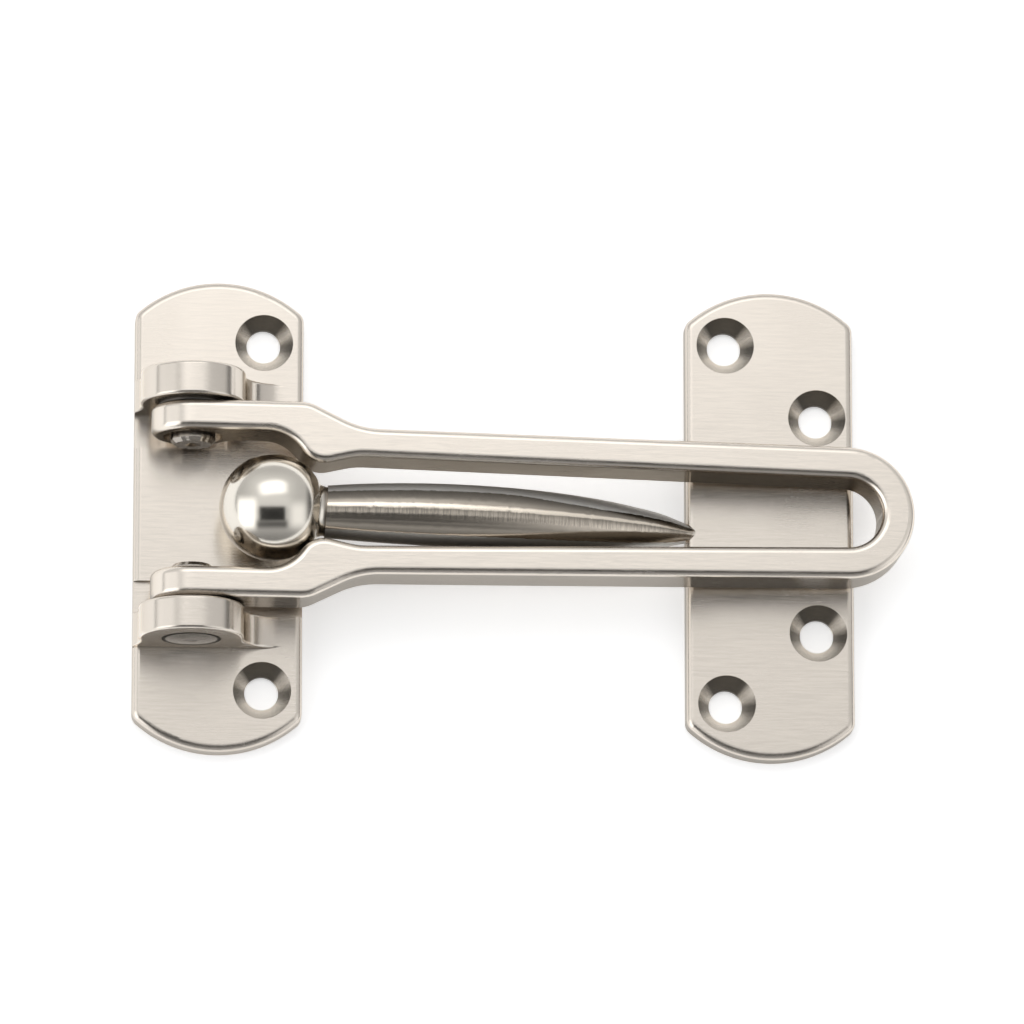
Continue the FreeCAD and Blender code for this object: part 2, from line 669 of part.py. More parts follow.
def catch_ball():
    """The polished ball, the neck that flares out of it, and the spigot that holds it in the arm.

    Ball, neck and spigot share one axis, turned a little off X so that it meets the arm's start.
    """
    body = doc.addObject("PartDesign::Body", "catch_ball_node")
    profile = new_sketch(body, "ball_profile", "XY_Plane")
    radius = size("ball_radius")
    neck = size("neck_radius")
    flare = size("neck_flare_radius")
    far = size("neck_reach")
    tip = far + size("spigot_length")
    spigot = size("spigot_radius")
    flare_centre = Vector(far, neck + flare, 0)
    turn = math.atan2(flare_centre.y, flare_centre.x)
    up = Vector(0, 0, 1)
    skin = profile.addGeometry(Part.ArcOfCircle(Part.Circle(Vector(0, 0, 0), up, radius), turn, math.pi))
    throat = profile.addGeometry(Part.ArcOfCircle(
        Part.Circle(flare_centre, up, flare), math.pi + turn, 3 * math.pi / 2))
    points = [Vector(far, neck, 0), Vector(far, spigot, 0), Vector(tip, spigot, 0),
              Vector(tip, 0, 0), Vector(-radius, 0, 0)]
    lines = [profile.addGeometry(Part.LineSegment(a, b)) for a, b in zip(points, points[1:])]
    join(profile, "Tangent", skin, 1, throat, 1)
    join(profile, "Coincident", throat, 2, lines[0], 1)
    for one, other in zip(lines, lines[1:]):
        join(profile, "Coincident", one, 2, other, 1)
    join(profile, "Coincident", lines[-1], 2, skin, 2)
    join(profile, "Coincident", skin, 3, -1, 1)
    join(profile, "Vertical", throat, 3, throat, 2)
    join(profile, "Vertical", lines[0])
    join(profile, "Horizontal", lines[1])
    join(profile, "Vertical", lines[2])
    join(profile, "PointOnObject", lines[3], 1, -1)
    join(profile, "PointOnObject", lines[3], 2, -1)
    add_rule(profile, "ball_radius", "Radius", skin)
    add_rule(profile, "neck_flare_radius", "Radius", throat)
    add_rule(profile, "neck_radius", "DistanceY", -1, 1, lines[0], 1)
    add_rule(profile, "spigot_radius", "DistanceY", -1, 1, lines[1], 1)
    add_rule(profile, "spigot_length", "DistanceX", lines[1], 1, lines[1], 2)
    turned = body.newObject("PartDesign::Revolution", "ball_turned")
    turned.Profile = profile
    turned.ReferenceAxis = (origin_plane(body, "X_Axis"), [""])
    turned.Angle = 360
    body.Placement = Placement(Vector(0, 0, 0), Rotation(Vector(0, 0, -1), size("neck_turn")))
    bind(body, ".Placement.Rotation.Angle", "neck_turn")
    bind(body, ".Placement.Base.x", "ball_x")
    bind(body, ".Placement.Base.y", "-ball_drop")
    bind(body, ".Placement.Base.z", "ball_z")
    return body


ARM_SECTIONS = 11


def arm():
    """The horn-shaped arm: round sections that swell from the neck and taper into the plate.

    The radius follows one ellipse from the neck to the belly and another from the belly to the
    root, and the centre falls along a power curve from the ball's height to the root's.
    """
    span = "(ball_plate_side_x + arm_root_sink - neck_end_x)"
    front_run = "((arm_belly_x - neck_end_x) / sqrt(1 - (arm_start_radius / arm_belly_radius)^2))"
    back_run = "((ball_plate_side_x - arm_belly_x) / sqrt(1 - (arm_root_radius / arm_belly_radius)^2))"
    first = -math.degrees(math.acos(size("arm_start_radius") / size("arm_belly_radius")))
    last = math.degrees(math.acos(size("arm_root_radius") / size("arm_belly_radius")))
    sections = []
    for number in range(ARM_SECTIONS):
        share = number / (ARM_SECTIONS - 1)
        ring = doc.addObject("Part::Circle", "arm_section_%02d" % (number + 1))
        turn = first + (last - first) * share
        run = front_run if turn < 0 else back_run
        edge = "acos(arm_start_radius / arm_belly_radius)"
        far_edge = "acos(arm_root_radius / arm_belly_radius)"
        angle = "(%.4f * (%s + %s) - %s)" % (share, edge, far_edge, edge)
        x = "(arm_belly_x + %s * sin(%s))" % (run, angle) if number else "neck_end_x"
        along = "((%s - neck_end_x) / %s)" % (x, span)
        y = "-(arm_ball_drop + (arm_root_drop - arm_ball_drop) * %s)" % along
        z = "ball_z - (ball_z - arm_root_height) * pow(%s; arm_fall_power)" % along
        bind(ring, "Radius", "arm_belly_radius * cos(%s)" % angle)
        face_along_x(ring, x, y, z, "neck_turn" if number == 0 else "0")
        sections.append(ring)
    root = doc.addObject("Part::Circle", "arm_section_root")
    bind(root, "Radius", "arm_root_radius")
    face_along_x(root, "ball_plate_side_x + arm_root_sink", "-arm_root_drop", "arm_root_height", "0")
    sections.append(root)
    horn = doc.addObject("Part::Loft", "arm_horn")
    horn.Sections = sections
    horn.Solid = True
    horn.Ruled = False
    return horn


def face_along_x(thing, x, y, z, turn):
    """Places a circle or cylinder with its axis along X, turned by an angle towards -Y."""
    lie = "rotation(vector(0; 0; 1); -(%s)) * rotation(vector(0; 1; 0); 90)" % turn
    bind(thing, "Placement", "placement(vector(%s; %s; %s); %s)" % (x, y, z, lie))


def ball_plate():
    """The plate with four screw holes and the arm cast on, bored for the ball's spigot."""
    outer = "outer_hole_spacing / 2"
    inner = "inner_hole_spacing / 2"
    plate = plate_body("ball_plate_form", [("-outer_hole_x", outer), ("inner_hole_x", inner),
                                           ("inner_hole_x", "-" + inner),
                                           ("-outer_hole_x", "-" + outer)])
    bind(plate, ".Placement.Base.x", "plate_spacing")
    socket = doc.addObject("Part::Cylinder", "spigot_socket")
    bind(socket, "Radius", "spigot_radius + spigot_gap")
    bind(socket, "Height", "spigot_length + spigot_gap")
    face_along_x(socket, "neck_end_x", "-arm_ball_drop", "ball_z", "neck_turn")
    cast = doc.addObject("Part::MultiFuse", "ball_plate_casting")
    cast.Shapes = [plate, arm()]
    whole = doc.addObject("Part::Cut", "ball_plate_node")
    whole.Base = cast
    whole.Tool = socket
    return whole


NODES = [
    ("hinge_plate", hinge_plate()),
    ("swing_bar", swing_bar()),
    ("upper_pin", hinge_pin("upper_pin", True)),
    ("lower_pin", hinge_pin("lower_pin", False)),
    ("upper_washer", hinge_washer("upper_washer", True)),
    ("lower_washer", hinge_washer("lower_washer", False)),
    ("ball_plate", ball_plate()),
    ("catch_ball", catch_ball()),
]
for label, node in NODES:
    node.Label = label
doc.recompute()

# Nothing is written unless every object is sound.
for thing in doc.Objects:
    if "Invalid" in thing.State or "Error" in thing.State:
        raise RuntimeError("%s is %s" % (thing.Label, thing.State))
for label, node in NODES:
    shape = node.Shape
    if shape.isNull() or not shape.isValid() or len(shape.Solids) != 1:
        raise RuntimeError(label + " is not one sound solid")

os.makedirs("parts", exist_ok=True)
for label, node in NODES:
    node.Shape.exportStep("parts/%s.step" % label)
    box = node.Shape.BoundBox
    print("%-14s volume %9.2f  X %7.2f..%7.2f  Y %7.2f..%7.2f  Z %6.2f..%6.2f" % (
        label, node.Shape.Volume, box.XMin, box.XMax, box.YMin, box.YMax, box.ZMin, box.ZMax))
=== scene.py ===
"""Looks of the door guard: its metal finishes, the light tent, the floor and the camera."""

from collections import namedtuple
import math

import bpy
from mathutils import Matrix, Vector

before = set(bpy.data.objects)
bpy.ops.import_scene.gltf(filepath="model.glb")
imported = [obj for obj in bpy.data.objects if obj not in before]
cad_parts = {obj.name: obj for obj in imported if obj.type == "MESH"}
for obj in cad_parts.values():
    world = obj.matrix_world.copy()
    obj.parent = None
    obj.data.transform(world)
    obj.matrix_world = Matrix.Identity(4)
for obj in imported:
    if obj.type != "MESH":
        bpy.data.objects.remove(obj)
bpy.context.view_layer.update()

MM = 0.001

# Places on the part, in metres, as in its source. A pair of screw holes is given by its X and by
# how far each hole lies from the middle line along Y.
PLATE_TOP = 3.6 * MM
PLATE_HALF_WIDTH = 13.75 * MM
PLATE_SPACING = 90.0 * MM
HINGE_SCREWS = (7.25 * MM, 28.95 * MM)
OUTER_SCREWS = (PLATE_SPACING - 7.2 * MM, 29.95 * MM)
INNER_SCREWS = (PLATE_SPACING + 7.8 * MM, 18.0 * MM)
COUNTERSINK_RADIUS = 4.72 * MM
PIN_X = -4.55 * MM
PIN_Z = 10.4 * MM
PIN_RADIUS = 3.6 * MM
PIN_HEAD_RADIUS = 4.5 * MM
PIN_MIDDLE = 17.0 * MM  # from the middle line, between a pin's head and its inner end
NECK_X = 16.3 * MM  # where the ball runs into its neck
ARM_ROOT_X = PLATE_SPACING - PLATE_HALF_WIDTH

# Metals, as linear colours
NICKEL = (0.69, 0.635, 0.57)
TURNED_NICKEL = (0.78, 0.72, 0.64)
ARM_NICKEL = (0.50, 0.45, 0.385)
# Light grey on the arm's matt sides: a painted reflection of the white floor, over a real matt finish
MATT_SIDE_PAINTED_REFLECTION = (0.82, 0.81, 0.79)
GRAZED_NICKEL = (0.80, 0.77, 0.72)
BALL_METAL = (0.74, 0.70, 0.63)
NECK_METAL = (0.26, 0.23, 0.195)
# Painted light on the pins' heads and painted shade on their inner ends, which lie between the lugs
PIN_HEAD_PAINTED_LIGHT = (0.92, 0.90, 0.87)
PIN_END_PAINTED_SHADE = (0.42, 0.385, 0.345)
WASHER_METAL = (0.20, 0.19, 0.18)
# Painted shade in the seams round the pins' heads
SEAM_SHADE = (0.03, 0.027, 0.024)

# Painted shade on the upright faces, darker than the front and darkest on those facing the middle
# line, where shade falls between the parts; the lugs' sides are painted lighter
HINGE_PLATE_EDGE_SHADE = (0.72, 0.73, 0.75)
HINGE_PLATE_INNER_SHADE = (0.50, 0.49, 0.48)
LUG_SIDES_PAINTED_LIGHT = (1.40, 1.43, 1.47)
BALL_PLATE_EDGE_SHADE = (0.56, 0.57, 0.59)
BAR_OUTER_SHADE = (0.51, 0.52, 0.54)
BAR_INNER_SHADE = (0.29, 0.265, 0.235)
BAR_FRONT = 1.1
WHITE = (1, 1, 1, 1)

# Noise lies round its middle, nearly all of it within a span
NOISE_MIDDLE = 0.5
NOISE_SPAN = (0.3, 0.7)
SHARP_SPAN = (0.35, 0.65)
EVEN = (1.0, 1.0, 1.0)

Metal = namedtuple("Metal", "material tree shader place normal")
Finish = namedtuple("Finish", "colour roughness height")
Grain = namedtuple("Grain", "stretch density detail roughness")
Cloth = namedtuple("Cloth", "middle reach fade level")


# Node building

def feed(tree, socket, value):
    """Links a socket to another, or sets its value."""
    if isinstance(value, bpy.types.NodeSocket):
        tree.links.new(value, socket)
    else:
        socket.default_value = value


def math_node(tree, operation, *values):
    """One arithmetic step on numbers or sockets."""
    node = tree.nodes.new("ShaderNodeMath")
    node.operation = operation
    for socket, value in zip(node.inputs, values):
        feed(tree, socket, value)
    return node.outputs[0]


def vector_node(tree, operation, *values):
    """One step on vectors."""
    node = tree.nodes.new("ShaderNodeVectorMath")
    node.operation = operation
    for socket, value in zip(node.inputs, values):
        feed(tree, socket, value)
    return node.outputs["Value" if operation == "DOT_PRODUCT" else "Vector"]


def split(tree, vector):
    """The X, Y and Z of a vector."""
    node = tree.nodes.new("ShaderNodeSeparateXYZ")
    feed(tree, node.inputs[0], vector)
    return node.outputs


def length(tree, across, along):
    """Length of a flat vector."""
    squares = math_node(tree, "ADD", math_node(tree, "MULTIPLY", across, across),
                        math_node(tree, "MULTIPLY", along, along))
    return math_node(tree, "SQRT", squares)


def ramp_between(tree, value, low, high, to_low=0.0, to_high=1.0):
    """A smooth step as a value goes from one level to another."""
    node = tree.nodes.new("ShaderNodeMapRange")
    node.interpolation_type = "SMOOTHSTEP"
    for socket, number in zip(node.inputs, (value, low, high, to_low, to_high)):
        feed(tree, socket, number)
    return node.outputs[0]


def as_share(tree, value):
    """A value from -1 to 1 as one from 0 to 1."""
    return math_node(tree, "MULTIPLY_ADD", value, 0.5, 0.5)


def waves(tree, distance, pitch):
    """Even waves along a distance."""
    return math_node(tree, "SINE", math_node(tree, "MULTIPLY", distance, 2 * math.pi / pitch))


MIX_SOCKETS = {"FLOAT": (2, 3, 0), "VECTOR": (4, 5, 1), "RGBA": (6, 7, 2)}


def mix(tree, share, first, second, kind="RGBA", blend="MIX"):
    """Mixes two numbers, vectors or colours by the second one's share."""
    node = tree.nodes.new("ShaderNodeMix")
    node.data_type = kind
    node.blend_type = blend
    first_socket, second_socket, result = MIX_SOCKETS[kind]
    feed(tree, node.inputs[0], share)
    feed(tree, node.inputs[first_socket], first)
    feed(tree, node.inputs[second_socket], second)
    return node.outputs[result]


def tinted(metal_colour, tone=1.0):
    """A metal's colour at a tone, with its alpha."""
    return (*[part * tone for part in metal_colour], 1)


def toned(tree, colour, tone):
    """A colour times a tone."""
    return mix(tree, 1.0, colour, tone, blend="MULTIPLY")


def stepped_tone(tree, value, stops):
    """A tone that runs through the given stops as a value goes from 0 to 1."""
    node = tree.nodes.new("ShaderNodeValToRGB")
    feed(tree, node.inputs[0], value)
    marks = node.color_ramp.elements
    while len(marks) < len(stops):
        marks.new(0.5)
    for mark, (spot, tone) in zip(marks, stops):
        mark.position = spot
        mark.color = (tone, tone, tone, 1)
    return node.outputs["Color"]


def grain(tree, place, kind):
    """A noise pattern on object coordinates. It stretches along an axis whose number is under 1."""
    squeezed = tree.nodes.new("ShaderNodeMapping")
    feed(tree, squeezed.inputs["Vector"], place)
    squeezed.inputs["Scale"].default_value = kind.stretch
    node = tree.nodes.new("ShaderNodeTexNoise")
    feed(tree, node.inputs["Vector"], squeezed.outputs[0])
    node.inputs["Scale"].default_value = kind.density
    node.inputs["Detail"].default_value = kind.detail
    node.inputs["Roughness"].default_value = kind.roughness
    return node.outputs["Fac"]


def new_group(name, inputs, outputs):
    """A shader node group; inputs and outputs are pairs of a name and a socket kind."""
    tree = bpy.data.node_groups.new(name, "ShaderNodeTree")
    for label, kind in inputs:
        tree.interface.new_socket(label, in_out="INPUT", socket_type=kind)
    for label, kind in outputs:
        tree.interface.new_socket(label, in_out="OUTPUT", socket_type=kind)
    source = tree.nodes.new("NodeGroupInput")
    sink = tree.nodes.new("NodeGroupOutput")
    return tree, source.outputs, sink.inputs


def add_group(tree, group, **values):
    """Places a group in a material and feeds its inputs; an underscore stands for a space."""
    node = tree.nodes.new("ShaderNodeGroup")
    node.node_tree = group
    for label, value in values.items():
        feed(tree, node.inputs[label.replace("_", " ")], value)
    return node.outputs


# Effects that several materials use

FINE_LINES = Grain(stretch=(0.035, 1.0, 1.0), density=9000.0, detail=3.0, roughness=0.7)
BROAD_LINES = Grain(stretch=(0.06, 1.0, 1.0), density=2200.0, detail=2.0, roughness=0.5)
BELT_CLOUDS = Grain(stretch=EVEN, density=90.0, detail=2.0, roughness=0.5)
FINE_SHARE = 0.65
END_ON = (0.55, 0.10)


def brushed_group():
    """Fine lines along X, broken up as an abrasive belt leaves them. They fade out where a face
    turns end on to them, since only their dots would lie there."""
    tree, given, result = new_group(
        "belt brushing",
        [("Vector", "NodeSocketVector"), ("Normal", "NodeSocketVector")],
        [("Lines", "NodeSocketFloat"), ("Clouds", "NodeSocketFloat")])
    fine = grain(tree, given["Vector"], FINE_LINES)
    broad = grain(tree, given["Vector"], BROAD_LINES)
    lines = mix(tree, FINE_SHARE, broad, fine, "FLOAT")
    end_on = math_node(tree, "ABSOLUTE", split(tree, given["Normal"])["X"])
    lines = mix(tree, ramp_between(tree, end_on, *END_ON), NOISE_MIDDLE, lines, "FLOAT")
    feed(tree, result["Lines"], lines)
    feed(tree, result["Clouds"], grain(tree, given["Vector"], BELT_CLOUDS))
    return tree


UPRIGHT = (0.40, 0.12)
FACING_IN = (-0.25, -0.75)


def side_shade_group():
    """Painted shade on the faces: the front stays as it is, upright ones are painted darker, most of
    all those that face the part's middle line, where shade falls between the parts."""
    tree, given, result = new_group(
        "painted shade on upright faces",
        [("Vector", "NodeSocketVector"), ("Normal", "NodeSocketVector"),
         ("Outer Tone", "NodeSocketColor"), ("Inner Tone", "NodeSocketColor")],
        [("Tone", "NodeSocketColor")])
    place = split(tree, given["Vector"])
    facing = split(tree, given["Normal"])
    upright = ramp_between(tree, math_node(tree, "ABSOLUTE", facing["Z"]), *UPRIGHT)
    outward = math_node(tree, "MULTIPLY", facing["Y"], math_node(tree, "SIGN", place["Y"]))
    inner = ramp_between(tree, outward, *FACING_IN)
    side_tone = mix(tree, inner, given["Outer Tone"], given["Inner Tone"])
    feed(tree, result["Tone"], mix(tree, upright, WHITE, side_tone))
    return tree


# Painted light and shade round a screw seat, standing for the turned cone's reflections, from its -Y
# side (0) to its +Y side (1)
SEAT_PAINTED_SECTORS = ((0.0, 1.20), (0.20, 1.10), (0.38, 0.38), (0.52, 0.32), (0.68, 0.95), (0.78, 0.70),
              (0.87, 0.12), (1.0, 0.10))
SEAT_RIM = (-0.02 * MM, 0.03 * MM)
SEAT_DEPTH = (-0.02 * MM, -0.06 * MM)
TURNING_PITCH = 0.16 * MM
HOLE_MIDDLE = 0.1 * MM


def from_hole(tree, place, hole_x, hole_y):
    """How far a place lies from the axis of the nearer hole of a pair, along X and along Y."""
    parts = split(tree, place)
    across = math_node(tree, "SUBTRACT", parts["X"], hole_x)
    hole = math_node(tree, "MULTIPLY", math_node(tree, "SIGN", parts["Y"]), hole_y)
    return across, math_node(tree, "SUBTRACT", parts["Y"], hole)


def seat_group():
    """The turned cones of a pair of screw holes: their mask, the lathe's rings and their painted light
    and shade.
    """
    tree, given, result = new_group(
        "turned screw seats",
        [("Vector", "NodeSocketVector"), ("Hole X", "NodeSocketFloat"), ("Hole Y", "NodeSocketFloat")],
        [("Mask", "NodeSocketFloat"), ("Rings", "NodeSocketFloat"), ("Tone", "NodeSocketColor")])
    across, along = from_hole(tree, given["Vector"], given["Hole X"], given["Hole Y"])
    distance = length(tree, across, along)
    inside = ramp_between(tree, math_node(tree, "SUBTRACT", COUNTERSINK_RADIUS, distance), *SEAT_RIM)
    depth = math_node(tree, "SUBTRACT", split(tree, given["Vector"])["Z"], PLATE_TOP)
    below_front = ramp_between(tree, depth, *SEAT_DEPTH)
    upward = math_node(tree, "DIVIDE", along, math_node(tree, "MAXIMUM", distance, HOLE_MIDDLE))
    rings = ramp_between(tree, waves(tree, distance, TURNING_PITCH), -1.0, 1.0)
    feed(tree, result["Mask"], math_node(tree, "MULTIPLY", inside, below_front))
    feed(tree, result["Rings"], rings)
    feed(tree, result["Tone"], stepped_tone(tree, as_share(tree, upward), SEAT_PAINTED_SECTORS))
    return tree


SEAM_EDGE = (0.42 * MM, 0.22 * MM)


def pin_group():
    """Distance from the hinge pins' axis, and the painted shade in the seam round each pin's head."""
    tree, given, result = new_group(
        "pin head seam",
        [("Vector", "NodeSocketVector")],
        [("Distance", "NodeSocketFloat"), ("Seam", "NodeSocketFloat")])
    parts = split(tree, given["Vector"])
    distance = length(tree, math_node(tree, "SUBTRACT", parts["X"], PIN_X),
                      math_node(tree, "SUBTRACT", parts["Z"], PIN_Z))
    off_seam = math_node(tree, "ABSOLUTE", math_node(tree, "SUBTRACT", distance, PIN_HEAD_RADIUS))
    feed(tree, result["Distance"], distance)
    feed(tree, result["Seam"], ramp_between(tree, off_seam, *SEAM_EDGE))
    return tree


BRUSHING = brushed_group()
SIDE_SHADE = side_shade_group()
SEATS = seat_group()
PINS = pin_group()


# Brushed nickel

# The way the belt's lines run, a little off X so that no flat face lies square to it
BELT_WAY = (1.0, 0.01, 0.02)
LINE_SPREAD = 0.85
LINE_DEPTH = 0.004 * MM
DULL_LINES = 0.95
BRIGHT_LINES = 1.04
LINE_ROUGHNESS = (0.19, 0.27)
CLOUD_ROUGHNESS = (-0.02, 0.02)
SEAT_ROUGHNESS = 0.26
RING_HEIGHT = 1.2
LUG_FOOT = (0.1 * MM, 0.5 * MM)


def new_metal(name):
    """An empty metal, with its object coordinates and its object's normal."""
    material = bpy.data.materials.new(name)
    material.use_nodes = True
    tree = material.node_tree
    shader = tree.nodes["Principled BSDF"]
    shader.inputs["Metallic"].default_value = 1.0
    surface = tree.nodes.new("ShaderNodeTexCoord").outputs
    return Metal(material, tree, shader, surface["Object"], surface["Normal"])


def add_bump(metal, height, distance):
    """Raises the surface by a height."""
    bump = metal.tree.nodes.new("ShaderNodeBump")
    bump.inputs["Distance"].default_value = distance
    feed(metal.tree, bump.inputs["Height"], height)
    feed(metal.tree, metal.shader.inputs["Normal"], bump.outputs[0])


def laid_over(tree, share, below, above):
    """One finish over another by a share."""
    return Finish(mix(tree, share, below.colour, above.colour),
                  mix(tree, share, below.roughness, above.roughness, "FLOAT"),
                  mix(tree, share, below.height, above.height, "FLOAT"))


def belt_finish(metal, outer_tone, inner_tone, front_tone=1.0):
    """The belt's satin finish, with painted shade on the sides."""
    tree = metal.tree
    belt = add_group(tree, BRUSHING, Vector=metal.place, Normal=metal.normal)
    sides = add_group(tree, SIDE_SHADE, Vector=metal.place, Normal=metal.normal,
                      Outer_Tone=outer_tone, Inner_Tone=inner_tone)
    colour = mix(tree, ramp_between(tree, belt["Lines"], *SHARP_SPAN),
                 tinted(NICKEL, DULL_LINES * front_tone), tinted(NICKEL, BRIGHT_LINES * front_tone))
    roughness = math_node(tree, "ADD",
                          ramp_between(tree, belt["Lines"], *NOISE_SPAN, *LINE_ROUGHNESS),
                          ramp_between(tree, belt["Clouds"], *NOISE_SPAN, *CLOUD_ROUGHNESS))
    return Finish(toned(tree, colour, sides["Tone"]), roughness, belt["Lines"])


def turned_seats(metal, finish, screws):
    """Adds the lathe's finish in the screw seats, with its painted light and shade."""
    tree = metal.tree
    for hole_x, hole_y in screws:
        seat = add_group(tree, SEATS, Vector=metal.place, Hole_X=hole_x, Hole_Y=hole_y)
        turned = Finish(toned(tree, tinted(TURNED_NICKEL), seat["Tone"]), SEAT_ROUGHNESS,
                        math_node(tree, "MULTIPLY", seat["Rings"], RING_HEIGHT))
        finish = laid_over(tree, seat["Mask"], finish, turned)
    return finish


def turning_way(tree, place, hole_x, hole_y):
    """Where a pair of screw seats lies, and the way the lathe's lines run round each of them."""
    across, along = from_hole(tree, place, hole_x, hole_y)
    round_hole = tree.nodes.new("ShaderNodeCombineXYZ")
    feed(tree, round_hole.inputs["X"], math_node(tree, "MULTIPLY", along, -1.0))
    feed(tree, round_hole.inputs["Y"], across)
    inside = math_node(tree, "LESS_THAN", length(tree, across, along), COUNTERSINK_RADIUS)
    return inside, vector_node(tree, "NORMALIZE", round_hole.outputs[0])


def across_lines(metal, screws, arm):
    """The way the finish spreads reflections: across the belt's lines and across the lathe's in
    the screw seats, but along X on the arm, whose fine marks run round it."""
    tree = metal.tree
    lines = BELT_WAY
    for hole_x, hole_y in screws:
        inside, round_hole = turning_way(tree, metal.place, hole_x, hole_y)
        lines = mix(tree, inside, lines, round_hole, "VECTOR")
    across = vector_node(tree, "CROSS_PRODUCT", lines, metal.normal)
    if arm is not None:
        across = mix(tree, arm, across, BELT_WAY, "VECTOR")
    turned = tree.nodes.new("ShaderNodeVectorTransform")
    turned.vector_type = "VECTOR"
    turned.convert_from = "OBJECT"
    turned.convert_to = "WORLD"
    feed(tree, turned.inputs[0], across)
    return turned.outputs[0]


def finished_nickel(metal, finish, screws=(), arm=None):
    """Puts a finish on a metal and lets it spread reflections across its lines."""
    sockets = metal.shader.inputs
    feed(metal.tree, sockets["Base Color"], finish.colour)
    feed(metal.tree, sockets["Roughness"], finish.roughness)
    sockets["Specular Tint"].default_value = tinted(GRAZED_NICKEL)
    sockets["Anisotropic"].default_value = LINE_SPREAD
    feed(metal.tree, sockets["Tangent"], across_lines(metal, screws, arm))
    add_bump(metal, finish.height, LINE_DEPTH)
    return metal.material


def hinge_plate_nickel():
    """The hinge plate: painted shade on its edges, painted light on its lugs' sides, and painted shade
    in the seams of the pins' heads.
    """
    metal = new_metal("hinge plate nickel")
    tree = metal.tree
    over_plate = math_node(tree, "SUBTRACT", split(tree, metal.place)["Z"], PLATE_TOP)
    # Outer faces painted in shade below the lugs' foot and painted light on the lugs' sides above it
    outer_tone = mix(tree, ramp_between(tree, over_plate, *LUG_FOOT),
                     tinted(HINGE_PLATE_EDGE_SHADE), tinted(LUG_SIDES_PAINTED_LIGHT))
    finish = belt_finish(metal, outer_tone, tinted(HINGE_PLATE_INNER_SHADE))
    seam = add_group(tree, PINS, Vector=metal.place)["Seam"]
    finish = finish._replace(colour=mix(tree, seam, finish.colour, tinted(SEAM_SHADE)))
    finish = turned_seats(metal, finish, [HINGE_SCREWS])
    return finished_nickel(metal, finish, [HINGE_SCREWS])


def swing_bar_nickel():
    """The bar: a bright front, painted shade on its outer sides and darker painted shade on its inner
    ones.
    """
    metal = new_metal("swing bar nickel")
    finish = belt_finish(metal, tinted(BAR_OUTER_SHADE), tinted(BAR_INNER_SHADE), BAR_FRONT)
    return finished_nickel(metal, finish)


def ball_plate_nickel():
    """The ball plate, with painted shade on its edges, and its arm, which has a finish of its own with
    painted highlights and reflections.
    """
    metal = new_metal("ball plate nickel")
    screws = [OUTER_SCREWS, INNER_SCREWS]
    finish = belt_finish(metal, tinted(BALL_PLATE_EDGE_SHADE), tinted(BALL_PLATE_EDGE_SHADE))
    arm = arm_share(metal)
    finish = laid_over(metal.tree, arm, finish, arm_finish(metal))
    finish = turned_seats(metal, finish, screws)
    return finished_nickel(metal, finish, screws, arm)


# The arm, by the way its surface faces: 0 is its -Y side, 0.5 its front, 1 its +Y side

# Painted light and shade round the arm, standing for its reflections: a painted highlight line along
# the front, painted dark reflections of the room beside it, and lighter bands towards its -Y side
ARM_PAINTED_BANDS = ((0.0, 0.9), (0.30, 1.10), (0.34, 1.25), (0.48, 0.60), (0.505, 1.75), (0.545, 1.75),
             (0.585, 0.60), (0.70, 0.42), (0.78, 0.28), (1.0, 0.25))
LOWER_MATT_SIDE = (0.115, 0.10)
UPPER_MATT_SIDE = (0.795, 0.815)
GROUND_STRIP = ((0.31, 0.35), (0.51, 0.48))
ARM_STREAKS = Grain(stretch=(0.05, 1.0, 1.0), density=1600.0, detail=2.0, roughness=0.5)
CROSS_MARKS = Grain(stretch=(1.0, 0.08, 0.08), density=4200.0, detail=2.0, roughness=0.7)
CROSS_MARK_TONES = (0.80, 1.12)
STREAK_WANDER = 0.03
ARM_ROUGHNESS = 0.24
MATT_ROUGHNESS = 0.84
ARM_SCRATCHES = 0.35
BEFORE_PLATE = (-0.05 * MM, -0.25 * MM)
OVER_PLATE = (0.05 * MM, 0.3 * MM)
ARM_DIP = (44.0 * MM, 63.0 * MM)
DIP_TURN = 0.11
DIP_SIDE = (0.53, 0.69)


def arm_share(metal):
    """1 on the arm and 0 on the ball plate: what lies left of the plate or over its front."""
    tree = metal.tree
    parts = split(tree, metal.place)
    past_root = math_node(tree, "SUBTRACT", parts["X"], ARM_ROOT_X)
    over_plate = math_node(tree, "SUBTRACT", parts["Z"], PLATE_TOP)
    return math_node(tree, "MAXIMUM", ramp_between(tree, past_root, *BEFORE_PLATE),
                     ramp_between(tree, over_plate, *OVER_PLATE))


def arm_turn(metal):
    """The way the arm's surface faces. The upper matt side, painted light grey, widens where the arm
    dips.
    """
    tree = metal.tree
    turn = as_share(tree, split(tree, metal.normal)["Y"])
    dip = ramp_between(tree, split(tree, metal.place)["X"], *ARM_DIP, 0.0, DIP_TURN)
    return math_node(tree, "MULTIPLY_ADD", dip, ramp_between(tree, turn, *DIP_SIDE), turn)


